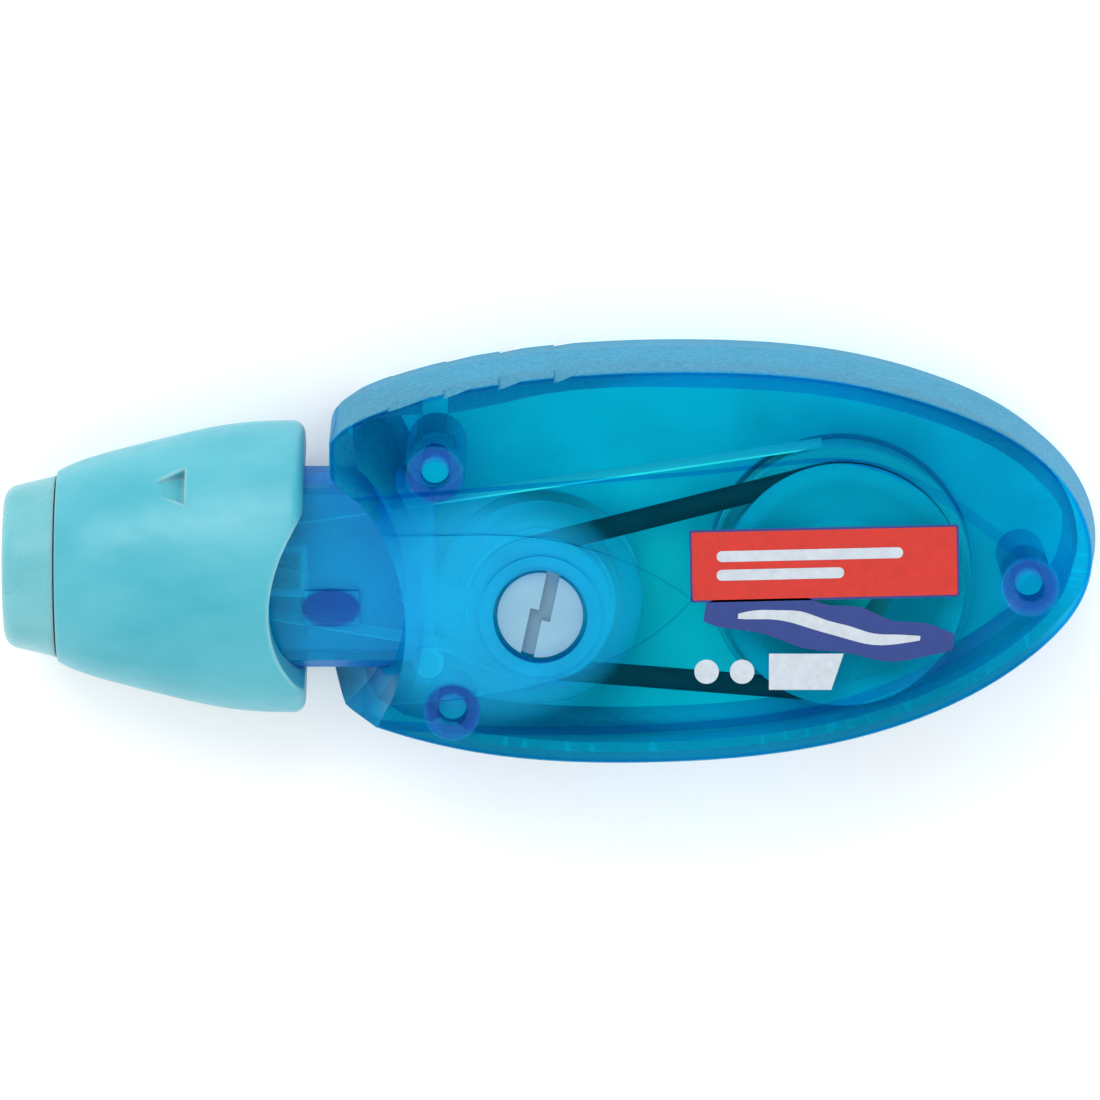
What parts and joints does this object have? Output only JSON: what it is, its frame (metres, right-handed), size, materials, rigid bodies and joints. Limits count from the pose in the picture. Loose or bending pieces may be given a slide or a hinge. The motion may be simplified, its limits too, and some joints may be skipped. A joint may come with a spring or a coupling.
{
  "type": "correction tape roller",
  "caption": "Pocket correction tape in an almond-shaped translucent casing, with a belt-driven take-up spool and a twist cap that draws back over the applicator tip.",
  "frame": {"origin": "centre of the bounding box on the flat back face of the casing", "axes": "+X from the capped tip towards the tail, +Y across the face, +Z out of the near face with the rewind spindle"},
  "size_m": [0.09, 0.034, 0.0204],
  "materials": {
    "casing_blue": "clear blue moulding, smooth faces, fine-grained edge",
    "neck_blue": "clear deeper blue moulding",
    "cap_teal": "milky teal moulding, satin",
    "nose_teal": "milky green-teal moulding, satin",
    "spindle_white": "white moulding",
    "core_white": "off-white moulding",
    "flange_clear": "clear moulding",
    "pulley_grey": "grey acetal",
    "belt_black": "matt black rubber cord",
    "tape_white": "chalky white correction film",
    "carrier_pale": "silicone paper carrier",
    "blade_soft": "soft elastomer edge",
    "spring_steel": "spring steel strip",
    "clip_grey": "grey nylon"
  },
  "bodies": {
    "casing": {"front_shell": "casing_blue", "back_shell": "casing_blue", "guide_sleeve": "core_white", "neck_sleeve": "neck_blue", "tip_arm": "core_white", "tip_blade": "blade_soft", "supply_tape": "tape_white", "return_tape": "carrier_pale", "feed_retaining_clip": "clip_grey", "drive_belt": "belt_black", "detent_spring": "spring_steel"},
    "feed_spool": {"feed_core": "core_white", "feed_upper_flange": "flange_clear", "tape_roll": "tape_white"},
    "feed_drive": {"feed_pulley": "pulley_grey", "slip_clutch_ring": "blade_soft"},
    "take_up_spool": {"take_up_core": "core_white", "take_up_upper_flange": "flange_clear", "used_carrier": "carrier_pale", "take_up_pulley": "pulley_grey", "rewind_spindle": "spindle_white"},
    "nose": {"nose_guard": "nose_teal"},
    "cap": {"twist_cap": "cap_teal"}
  },
  "joints": [
    {"name": "nose_slide", "type": "slide", "parent": "casing", "child": "nose", "axis": [1, 0, 0], "range_m": [0, 0.004]},
    {"name": "cap_twist", "type": "hinge", "parent": "nose", "child": "cap", "pos_m": [-0.03, -0.0014, 0.01], "axis": [1, 0, 0], "range_deg": [0, 90]},
    {"name": "feed_spin", "type": "hinge", "parent": "casing", "child": "feed_spool", "pos_m": [0.024, -0.0018, 0.01], "axis": [0, 0, 1], "continuous": true},
    {"name": "feed_pulley_spin", "type": "hinge", "parent": "casing", "child": "feed_drive", "pos_m": [0.024, -0.0018, 0.0155], "axis": [0, 0, 1], "continuous": true},
    {"name": "take_up_spin", "type": "hinge", "parent": "casing", "child": "take_up_spool", "pos_m": [-0.0008, -0.0039, 0.01], "axis": [0, 0, 1], "continuous": true}
  ],
  "couplings": [
    {"joint": "cap_twist", "follows": "nose_slide", "rad_per_m": 392.6},
    {"joint": "feed_pulley_spin", "follows": "feed_spin", "ratio": 0.968},
    {"joint": "take_up_spin", "follows": "feed_spin", "ratio": 1.7443}
  ]
}
